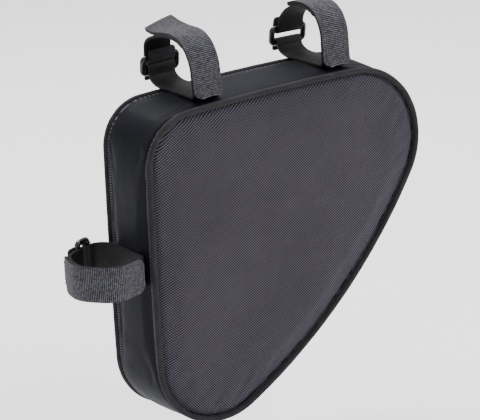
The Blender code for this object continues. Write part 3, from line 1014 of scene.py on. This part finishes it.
def tab_pile():
    """Tab cloth: short mottled pile, darker than the straps."""
    look = Look("tab_pile", 0.9)
    fuzz = look.noise(0.0009, 3.0, 0.7)
    clumps = look.noise(0.003, 3.0)
    mixed = look.total((fuzz, 0.5), (clumps, 0.5))
    look.colour(look.ramp(mixed, (0.3, (0.005, 0.005, 0.006)), (0.7, (0.036, 0.035, 0.039))))
    look.gloss(0.12)
    look.sheen(0.06)
    look.relief(mixed, 0.0005, 0.9)
    return look.material


def grained(name, roughness, grain, stops, relief, worn=None):
    """A look with one grain in its colour, its relief and, where it is worn, its shine."""
    look = Look(name, roughness)
    tone = look.noise(*grain)
    look.colour(look.ramp(tone, *stops))
    look.relief(tone, *relief)
    if worn:
        look.roughness(look.span(tone, *worn))
    return look


def black_plastic():
    """Moulded black plastic, glossy, with faint scuffs."""
    stops = (0.3, (0.005, 0.005, 0.0055)), (0.8, (0.012, 0.012, 0.013))
    look = grained("black_plastic", 0.22, (0.004, 6.0, 0.7), stops, (0.00012, 0.3), (0.12, 0.38))
    look.gloss(0.6)
    return look.material


def sewing_thread():
    stops = (0.3, (0.012, 0.012, 0.014)), (0.8, (0.045, 0.044, 0.050))
    look = grained("sewing_thread", 0.6, (0.0003, 2.0), stops, (0.0001, 0.6))
    look.sheen(0.3)
    return look.material


def coil_nylon():
    stops = (0.3, (0.006, 0.006, 0.007)), (0.8, (0.020, 0.020, 0.021))
    return grained("coil_nylon", 0.42, (0.002, 3.0), stops, (0.00008, 0.4), (0.32, 0.55)).material


def painted_slider():
    stops = (0.35, (0.010, 0.010, 0.011)), (0.9, (0.060, 0.060, 0.062))
    look = grained("painted_slider", 0.32, (0.0018, 5.0, 0.7), stops, (0.00008, 0.4), (0.22, 0.5))
    look.shader.inputs["Metallic"].default_value = 0.6
    return look.material


def zip_tape():
    """Closely woven black tape that the zip's coil is sewn to."""
    look = Look("zip_tape", 0.75)
    part = look.split(look.spot)
    twill = look.wave(look.math("ADD", part[0], part[2]), WEFT_PITCH)
    fuzz = look.noise(0.0006, 2.0)
    look.colour(look.ramp(fuzz, (0.3, (0.008, 0.008, 0.009)), (0.8, (0.022, 0.022, 0.023))))
    look.sheen(0.2)
    look.relief(twill, 0.00012, 0.7)
    return look.material


def floor_paper():
    look = Look("floor_paper", 0.9)
    tone = look.noise(0.4, 3.0)
    look.colour(look.ramp(tone, (0.3, (0.90, 0.90, 0.90)), (0.7, (0.93, 0.93, 0.93))))
    look.relief(look.noise(0.004, 2.0), 0.0001, 0.2)
    look.shader.inputs["Emission Color"].default_value = (1.0, 1.0, 1.0, 1.0)
    look.shader.inputs["Emission Strength"].default_value = FLOOR_GLOW
    return look.material


# Panels, gusset and piping


def panel_rise(inward):
    """Share of a panel's crown at a share of the way in from its edge, with a soft roll at the seam."""
    roll = 1 - (1 - rising(inward, PANEL_ROLL_REACH)) ** PANEL_ROLL_POWER
    swell = math.sin(rising(inward, PANEL_SWELL_REACH) * math.pi / 2)
    return PANEL_ROLL_SHARE * roll + (1 - PANEL_ROLL_SHARE) * swell


def make_panel_cloth(name, outline, seam, facing, crown, look):
    """A crowned sheet of padded cloth whose edge rolls down into the groove beside the piping."""
    points = outline.points()
    middle = outline.middle
    tuck = seam - facing * (PIPING_RADIUS + SEWING_GAP)
    rim_points = [point + normal * PANEL_TUCK for point, normal in points]
    rows = [[at(point.x, tuck, point.y) for point in rim_points]]
    for ring in range(PANEL_RINGS + 1):
        inward = PANEL_REACH * (ring / PANEL_RINGS) ** PANEL_CROWDING
        row = []
        for point, _ in points:
            flat = point.lerp(middle, inward)
            spot = at(flat.x, seam, flat.y)
            rise = crown * panel_rise(inward) - PANEL_GROOVE * fading(inward, PANEL_GROOVE_REACH)
            pucker = ripple(at(point.x, seam, point.y), PANEL_PUCKER_SIZE, 3.0)
            rise += PANEL_PUCKER * fading(inward, PANEL_PUCKER_REACH) * pucker
            sag = ripple(spot, PANEL_SAG_SIZE, 11.0 + facing)
            rise += PANEL_SAG * rising(inward, PANEL_SAG_REACH) * sag
            spot.y += facing * rise
            row.append(spot)
        rows.append(row)
    sheet, rim = grow_rows(rows, closed=True)
    cap = bmesh.ops.contextual_create(sheet, geom=rim)["faces"]
    hub = bmesh.ops.poke(sheet, faces=cap)["verts"]
    for vert in hub:
        vert.co.y = sum(edge.other_vert(vert).co.y for edge in vert.link_edges) / len(vert.link_edges)
    face_out(sheet, at(middle.x, SEAM_DEPTH / 2, middle.y))
    piece = add_piece(name, sheet, [look])
    settle(piece, range(2 * len(points)), PANEL_PUSH, PANEL_CAP)
    add_wall(piece, PANEL_THICKNESS, -1)
    return piece


def make_front_panel(look):
    panel = make_panel_cloth("front_panel_cloth", FRONT, 0.0, -1, FRONT_CROWN, look)
    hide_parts("front_panel")


def make_back_panel(look):
    """The back panel's cloth, with the slot for the zip cut through it."""
    panel = make_panel_cloth("back_panel_cloth", BACK, SEAM_DEPTH, 1, BACK_CROWN, look)
    middle = at(ZIP_FROM_SEAT_EDGE + ZIP_LENGTH / 2, SEAM_DEPTH, -ZIP_BELOW_TOP)
    size = (ZIP_LENGTH, 8 * PANEL_THICKNESS, ZIP_SLOT_WIDTH)
    body = rounded_block(size, middle, 1, ZIP_SLOT_WIDTH * 0.45, PANEL_THICKNESS * 0.1)
    cutter = add_object("slot", as_mesh("slot", body))
    cut = panel.modifiers.new("Slot", "BOOLEAN")
    cut.operation = "DIFFERENCE"
    cut.solver = "EXACT"
    cut.object = cutter
    bake(panel)
    bpy.data.objects.remove(cutter)
    panel.data.set_sharp_from_angle(angle=math.radians(40))
    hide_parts("back_panel")
    return panel


def dent_at(share):
    """How far the gusset is pressed in at a share of the way round."""
    sunk = 0.0
    for place_round, half_width, amount in GUSSET_DENTS:
        apart = abs(share - place_round)
        sunk += amount * fading(min(apart, 1 - apart), half_width)
    return GUSSET_DENT_SIZE * sunk


def make_gusset(look):
    """The coated band between the two seams: bulging, dented, with small puckers where it is sewn."""
    front, back = FRONT.points(), BACK.points()
    start, end = SEAM_STAND, SEAM_DEPTH - SEAM_STAND
    profile = through([Vector(row) for row in GUSSET_ROWS], PROFILE_STEP)
    past = GUSSET_PAST_SEAM
    profile = [(-past, -1.0)] + [tuple(step) for step in profile] + [(1 + past, -1.0)]
    rows = []
    for across, bulge in profile:
        depth = start + (end - start) * across
        blend = depth / SEAM_DEPTH
        row = []
        for i in range(len(front)):
            (near, near_normal), (far, far_normal) = front[i], back[i]
            stand = SEAM_STAND + GUSSET_EDGE_STAND
            if bulge < 0:
                stand -= GUSSET_TUCK
            else:
                stand += (GUSSET_BULGE - dent_at(i / len(front))) * bulge
            point = near.lerp(far, blend)
            spot = at(point.x, depth, point.y)
            inward = min(across, 1 - across)
            pucker = fading(inward, GUSSET_PUCKER_REACH) * rising(inward, GUSSET_PUCKER_START)
            spread = Vector((spot.x, GUSSET_PUCKER_STRETCH * spot.y, spot.z))
            stand += GUSSET_PUCKER * pucker * ripple(spread, GUSSET_PUCKER_SIZE, 5.0)
            stand -= GUSSET_GROOVE * fading(inward, GUSSET_GROOVE_REACH)
            wave = rising(inward, GUSSET_WAVE_REACH) * ripple(spot, GUSSET_WAVE_SIZE, 9.0)
            stand += GUSSET_WAVE * wave
            shift = near_normal.lerp(far_normal, blend) * stand
            row.append(spot + Vector((shift.x, 0, shift.y)))
        rows.append(row)
    sheet, _ = grow_rows(rows, closed=True)
    face_out(sheet, at(FRONT.middle.x, SEAM_DEPTH / 2, FRONT.middle.y))
    piece = add_piece("gusset_cloth", sheet, [look])
    count = len(front)
    last = len(piece.data.vertices)
    seams = list(range(2 * count)) + list(range(last - 2 * count, last))
    settle(piece, seams, GUSSET_PUSH, GUSSET_CAP)
    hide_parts("gusset")
    add_wall(piece, GUSSET_THICKNESS, -1)


def make_piping(name, outline, depth, look):
    """A corded bead along a seam, with fine ribs across it."""
    loop = [point + normal * SEAM_STAND for point, normal in outline.points()]
    loop.append(loop[0])
    lengths = along(loop)
    ribs = round(lengths[-1] / PIPING_RIB_PITCH)
    count = ribs * POINTS_A_RIB
    points, radii = [], []
    for i in range(count):
        k, share = share_at(lengths, lengths[-1] * i / count)
        flat = loop[k - 1].lerp(loop[k], share)
        spot = at(flat.x, depth, flat.y)
        points.append(spot)
        rib = math.sin(2 * math.pi * i / POINTS_A_RIB + PIPING_RIB_PHASE)
        wear = PIPING_WEAR * ripple(spot, PIPING_WEAR_SIZE, 21.0)
        radii.append(PIPING_RADIUS - PIPING_RIB_DEPTH * (0.5 - 0.5 * rib) + wear)
    bead = curve_mesh(name, points, radii, True, TUBE_RESOLUTION)
    piece = add_piece(name + "_bead", bead, [look])
    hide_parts(name)
    return piece.name


# Zip


def by_zip(x, depth, up=0.0):
    """A point by the zip: from the slot's seat end along X, in depth, and up from the slot's middle."""
    return at(ZIP_FROM_SEAT_EDGE + x, depth, up - ZIP_BELOW_TOP)


def make_zip_tapes(coil_depth, look):
    tapes = []
    depth = coil_depth - ZIP_COIL_THICKNESS / 2 - ZIP_TAPE_THICKNESS
    size = (ZIP_LENGTH - ZIP_END_PLAY, ZIP_TAPE_THICKNESS, ZIP_TAPE_WIDTH - ZIP_TAPE_GAP)
    for side in (-1, 1):
        middle = by_zip(ZIP_LENGTH / 2, depth, side * ZIP_TAPE_WIDTH / 2)
        tapes.append(rounded_block(size, middle, 1, ZIP_END_PLAY, ZIP_TAPE_EDGE))
    add_piece("zip_tapes", join(tapes), [look])


def make_zip_coil(coil_depth, look):
    """Two wound coils whose turns meet in the middle of the slot."""
    teeth = []
    turns = int((ZIP_LENGTH - 2 * ZIP_END_PLAY) / ZIP_TOOTH_PITCH)
    reach = ZIP_TOOTH_REACH / 2
    for side in (-1, 1):
        points = []
        for i in range(turns * ZIP_TOOTH_POINTS + 1):
            angle = 2 * math.pi * i / ZIP_TOOTH_POINTS + (math.pi if side > 0 else 0)
            across = side * (reach - ZIP_TOOTH_WIRE + math.cos(angle) * reach)
            depth = coil_depth + math.sin(angle) * (ZIP_COIL_THICKNESS / 2 - ZIP_TOOTH_WIRE)
            points.append(by_zip(ZIP_END_PLAY + i / ZIP_TOOTH_POINTS * ZIP_TOOTH_PITCH, depth, across))
        teeth.append(curve_mesh("coil", points, [ZIP_TOOTH_WIRE] * len(points), False, 0))
    coil = add_piece("zip_coil_teeth", join(teeth), [look])
    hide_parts("zip_coil")


def make_zip_slider(base, look):
    """A flat plate with a narrow bridge on it."""
    x = ZIP_SLIDER_FROM_END
    size = (ZIP_SLIDER_LENGTH, ZIP_PLATE_THICKNESS, ZIP_SLIDER_WIDTH)
    middle = by_zip(x, base + ZIP_PLATE_THICKNESS / 2)
    plate = rounded_block(size, middle, 1, ZIP_SLIDER_WIDTH * 0.3, ZIP_EDGE)
    sunk = ZIP_PLATE_THICKNESS - ZIP_BRIDGE_SINK
    rise = ZIP_SLIDER_HEIGHT - sunk
    size = (ZIP_SLIDER_LENGTH * 0.62, rise, ZIP_BRIDGE_WIDTH)
    bridge = rounded_block(size, by_zip(x, base + sunk + rise / 2), 2, 0.0007, ZIP_EDGE)
    slider = add_piece("zip_slider_body", join([plate, bridge]), [look])
    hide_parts("zip_slider")


def make_zip_pull(base, look):
    """A grip that hangs from the slider by a neck, with low ridges across it."""
    top = -ZIP_SLIDER_WIDTH / 2 - SEWING_GAP
    length = ZIP_PULL_LENGTH - ZIP_NECK_RISE
    middle = top - ZIP_PULL_LENGTH + length / 2
    wide, thick = ZIP_PULL_WIDTH, ZIP_PULL_THICKNESS
    blocks = [
        # (width, thickness, length, its middle's height, corner radius, edge radius)
        (wide * 0.5, thick * 0.8, ZIP_NECK_LENGTH, top - 0.0001, 0.0009, 0.0002),
        (wide, thick, length, middle, 0.0018, ZIP_EDGE),
    ]
    for i in range(ZIP_RIDGES):
        up = middle + (i - ZIP_RIDGES // 2) * ZIP_RIDGE_PITCH
        blocks.append((wide * 0.62, thick + 0.0006, 0.0011, up, 0.0004, 0.0002))
    parts = []
    for width, thickness, height, up, radius, edge in blocks:
        spot = by_zip(ZIP_SLIDER_FROM_END, base + ZIP_SLIDER_HEIGHT / 2, up)
        parts.append(rounded_block((width, thickness, height), spot, 1, radius, edge))
    pull = add_piece("zip_pull_grip", join(parts), [look])
    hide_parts("zip_pull")


def sew_zip(panel, look):
    """Stitches round the slot, laid on the panel's cloth."""
    surface = BVHTree.FromObject(panel, bpy.context.evaluated_depsgraph_get())
    reach = ZIP_SLOT_WIDTH / 2 + ZIP_STITCH_FROM_SLOT
    start, end = -ZIP_STITCH_PAST_END, ZIP_LENGTH + ZIP_STITCH_PAST_END
    corners = [Vector(pair) for pair in ((start, -reach), (end, -reach), (end, reach), (start, reach))]
    thread = bmesh.new()
    for first, second in zip(corners, corners[1:] + corners[:1]):
        steps = max(2, int((second - first).length / ZIP_STITCH_STEP))
        flat = [first.lerp(second, i / steps) for i in range(steps + 1)]
        seen = [surface.ray_cast(by_zip(x, SEAM_DEPTH * 2, up), Vector((0, -1, 0))) for x, up in flat]
        stitch_line(thread, [hit[:2] for hit in seen])
    add_piece("zip_stitches", thread, [look])


def make_zip(panel, looks):
    """The closed coil in the back panel's slot, its tapes, its slider with a pull, and its sewing."""
    outer = SEAM_DEPTH + BACK_CROWN
    coil_depth = outer - ZIP_COIL_SINK - ZIP_COIL_THICKNESS / 2
    make_zip_tapes(coil_depth, looks["tape"])
    make_zip_coil(coil_depth, looks["coil"])
    make_zip_slider(outer + SEWING_GAP, looks["slider"])
    make_zip_pull(outer + SEWING_GAP, looks["slider"])
    sew_zip(panel, looks["thread"])


# Straps


class Strip:
    """A strip of webbing along a path in a strap's plane, which stands on the gusset."""

    def __init__(self, path, width, corner, thickness, where, end_twist=0.0, end_corner=None):
        self.end_corner = corner if end_corner is None else end_corner
        self.end_twist = math.radians(end_twist)
        self.path = with_end_rows(path, corner)
        self.lengths = along(self.path)
        self.width = width
        self.corner = corner
        self.thickness = thickness
        self.foot, self.outward, self.across = where
        self.length = self.lengths[-1]

    def frame_at(self, i):
        """The strip's middle at a point of its path, its outer face's normal, and the way of its width."""
        point, side = self.path[i], side_of(self.path, i)
        middle = self.foot + Vector((0, point.x, 0)) + self.outward * point.y - ORIGIN
        normal = Vector((0, side.x, 0)) + self.outward * side.y
        share = max(0.0, 1 - (self.length - self.lengths[i]) / TWIST_RUN)
        turn = self.end_twist * share * share * (3 - 2 * share)
        across = self.across * math.cos(turn) + normal * math.sin(turn)
        return middle, normal * math.cos(turn) - self.across * math.sin(turn), across

    def on_face(self, across, length):
        """A spot on the strip's outer face, how far across it and how far along it, and its normal."""
        i = next((i for i, reached in enumerate(self.lengths) if reached >= length), len(self.path) - 1)
        middle, normal, width_way = self.frame_at(i)
        return middle + width_way * across + normal * self.thickness / 2, normal

    def half_width(self, length):
        """Half the strip's width at a length along it, less towards its rounded corners."""
        cut = 0.0
        for from_end, corner in ((length, self.corner), (self.length - length, self.end_corner)):
            if from_end < corner:
                cut = corner - math.sqrt(max(corner**2 - (corner - from_end) ** 2, 0.0))
        return self.width / 2 - cut

    def sheet(self, cup, wave, seed):
        rows, marks = [], []
        for i, length in enumerate(self.lengths):
            half = self.half_width(length)
            middle, normal, width_way = self.frame_at(i)
            row, mark = [], []
            for column in range(STRIP_COLUMNS + 1):
                share = 2 * column / STRIP_COLUMNS - 1
                spot = Vector((length, share * WAVE_DRIFT, seed))
                drift = rising(length, WAVE_START) * ripple(spot, WAVE_SIZE, seed)
                lift = wave * drift - cup * share**2
                row.append(middle + width_way * share * half + normal * lift)
                mark.append((share * half, length))
            rows.append(row)
            marks.append(mark)
        sheet, _ = grow_rows(rows, closed=False, marks=marks)
        sheet.faces.ensure_lookup_table()
        if sheet.faces[0].normal.dot(self.frame_at(0)[1]) < 0:
            bmesh.ops.reverse_faces(sheet, faces=sheet.faces)
        return sheet


def with_end_rows(path, corner):
    """The path with extra points close to both ends, where the strip's corners are rounded."""
    for _ in range(2):
        lengths = along(path)
        kept = [path[i] for i, length in enumerate(lengths) if length > corner * 1.2]
        rows = []
        for wanted in (corner * share for share in END_ROWS):
            k, share = share_at(lengths, wanted)
            rows.append(path[k - 1].lerp(path[k], share))
        path = (rows + kept)[::-1]
    return path


def ring_points(plan, width, where):
    """Points of the ring's middle line, each with how far out it is, and half the line's width."""
    foot, outward, across = where
    lower, upper, way = ring_bars(plan)
    half_width = width / 2 + RING_SIDE_PLAY + RING_BAR_RADIUS
    middle = (lower + upper) / 2
    points = []
    for i, (side, end) in enumerate(((1, 1), (-1, 1), (-1, -1), (1, -1))):
        centre = Vector((side * (half_width - RING_BEND), end * (RING_BAR_SPACING / 2 - RING_BEND)))
        for step in range(RING_CORNER_STEPS + 1):
            angle = math.radians(90 * i + 90 * step / RING_CORNER_STEPS)
            flat = centre + Vector((math.cos(angle), math.sin(angle))) * RING_BEND
            spot = middle + way * flat.y
            spot = foot + across * flat.x + Vector((0, spot.x, 0)) + outward * spot.y
            points.append((spot - ORIGIN, abs(flat.x)))
    return points, half_width


def make_ring(name, plan, width, where, look):
    points, half_width = ring_points(plan, width, where)
    sides = [max(0.0, 1 - (half_width - out) / (2 * RING_BAR_RADIUS)) for _, out in points]
    radii = [RING_BAR_RADIUS * (1 + RING_SIDE_SWELL * side) for side in sides]
    bar = curve_mesh(name, [point for point, _ in points], radii, True, 6)
    piece = add_piece(name + "_ring_bar", bar, [look])
    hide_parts(name + "_ring")


def box_stitches(thread, strip, start, end):
    """A sewn box on a strip's outer face."""
    reach = strip.width / 2 - BOX_FROM_EDGE
    corners = [Vector(pair) for pair in ((-reach, start), (reach, start), (reach, end), (-reach, end))]
    for first, second in zip(corners, corners[1:] + corners[:1]):
        flat = [first.lerp(second, i / STITCH_SPOTS) for i in range(STITCH_SPOTS + 1)]
        stitch_line(thread, [strip.on_face(across, length) for across, length in flat])


def cross_stitches(thread, strip, length):
    """A row of stitches across a strip's outer face."""
    reach = strip.width / 2 - CROSS_FROM_EDGE
    shares = [2 * i / STITCH_SPOTS - 1 for i in range(STITCH_SPOTS + 1)]
    stitch_line(thread, [strip.on_face(reach * share, length) for share in shares])


def add_strip(name, node, strip, relief, rim, looks):
    """A strip made a piece, with its wall, its rounded rims and the node that it replaces."""
    piece = add_piece(name, strip.sheet(*relief), looks)
    add_wall(piece, strip.thickness, 0, len(looks) - 1)
    round_rims(piece, rim)
    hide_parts(node)


def make_strap(name, plan, where, width, looks):
    """One strap: its base webbing, ring, tab and long hook-and-loop strap, with their sewing."""
    seed = 1.7 * STRAP_NAMES.index(name) + 2.0
    base_width = width - 2 * RING_SIDE_PLAY

    base = Strip(base_path(plan), base_width, WEBBING_CORNER, BASE_THICKNESS, where)
    relief, cloth = (WEBBING_CUP, WEBBING_WAVE, seed), [looks["webbing"]]
    add_strip(name + "_base_webbing", name + "_base", base, relief, WEBBING_RIM, cloth)

    make_ring(name, plan, width, where, looks["plastic"])

    tab = Strip(tab_path(plan), base_width, STRAP_CORNER_RADIUS / 2, TAB_THICKNESS, where)
    relief, cloth = (WEBBING_CUP, WEBBING_WAVE, seed + 1), [looks["tab"], looks["hook"]]
    add_strip(name + "_tab_webbing", name + "_tab", tab, relief, WEBBING_RIM, cloth)

    ends = (plan.get("end_twist", 0.0), plan.get("end_corner"))
    strap = Strip(strap_path(plan), width, STRAP_CORNER_RADIUS, STRAP_THICKNESS, where, *ends)
    relief, cloth = (STRAP_CUP, STRAP_WAVE, seed + 2), [looks["pile"], looks["hook"]]
    add_strip(name + "_strap_pile", name + "_strap", strap, relief, STRAP_RIM, cloth)

    thread = bmesh.new()
    box_stitches(thread, strap, SEWN_FROM_END, SEWN_FROM_END + BOX_LENGTH)
    cross_stitches(thread, strap, strap.length - SEWN_FROM_END)
    add_piece(name + "_stitches", thread, [looks["thread"]])


def make_straps(looks):
    rear = REAR_STRAP_FROM_SEAT_EDGE
    rear_seat = FRONT.on_edge("top", 0, rear)
    fore_seat = FRONT.on_edge("top", 0, rear + TOP_STRAP_SPACING)
    low_seat = FRONT.on_edge("seat", 1, -SEAT_STRAP_BELOW_TOP)
    places = {
        "rear_top": (place(rear_seat, STRAP_STAND), TOP_STRAP_WIDTH),
        "fore_top": (place(fore_seat, STRAP_STAND), TOP_STRAP_WIDTH),
        "seat": (place(low_seat, GUSSET_STAND), SEAT_STRAP_WIDTH),
    }
    for name, plan in STRAPS.items():
        make_strap(name, plan, *places[name], looks)


# Studio


def make_floor(look):
    lowest = cad_box[0].z
    ground = bmesh.new()
    bmesh.ops.create_grid(ground, x_segments=8, y_segments=8, size=FLOOR_SIZE / 2)
    bmesh.ops.translate(ground, vec=(0, 0, lowest - FLOOR_DROP), verts=ground.verts)
    data = as_mesh("floor", ground)
    data.materials.append(look)
    floor = add_object("floor", data)


def add_softbox(name, spot, power, size):
    """A large square lamp aimed at the bag."""
    lamp = bpy.data.lights.new(name, "AREA")
    lamp.shape = "SQUARE"
    lamp.size = size
    lamp.energy = power
    aim = (cad_box[0] + cad_box[1]) / 2 - Vector(spot)
    turn = aim.to_track_quat("-Z", "Y").to_matrix().to_4x4()
    add_object(name, lamp).matrix_world = Matrix.Translation(spot) @ turn


def make_studio():
    make_floor(floor_paper())
    sky = bpy.data.worlds.new("studio")
    sky.use_nodes = True
    light = sky.node_tree.nodes["Background"].inputs
    light["Color"].default_value = (1.0, 1.0, 1.0, 1.0)
    light["Strength"].default_value = SKY_GLOW
    bpy.context.scene.world = sky
    for name, (spot, power, size) in SOFTBOXES.items():
        add_softbox(name, spot, power, size)


def make_camera():
    lens = bpy.data.cameras.new("camera")
    lens.lens = LENS_MM
    lens.sensor_width = SENSOR_MM
    lens.clip_start = 0.01
    holder = add_object("camera", lens)
    aim = CAMERA_AIM.normalized()
    right = (CAMERA_RIGHT - aim * CAMERA_RIGHT.dot(aim)).normalized()
    turn = Matrix((right, right.cross(aim), -aim)).transposed().to_4x4()
    holder.matrix_world = Matrix.Translation(CAMERA_PLACE) @ turn
    bpy.context.scene.camera = holder


def main():
    weave = woven_polyester()
    piping = ribbed_piping()
    looks = {
        "thread": sewing_thread(),
        "webbing": base_webbing(),
        "tape": zip_tape(),
        "coil": coil_nylon(),
        "slider": painted_slider(),
        "pile": loop_pile(),
        "hook": hook_side(),
        "tab": tab_pile(),
        "plastic": black_plastic(),
    }
    make_front_panel(weave)
    back = make_back_panel(weave)
    beads = [
        make_piping("front_piping", FRONT, 0.0, piping),
        make_piping("back_piping", BACK, SEAM_DEPTH, piping),
    ]
    make_gusset(coated_gusset())
    make_zip(back, looks)
    make_straps(looks)
    make_studio()
    make_camera()


main()
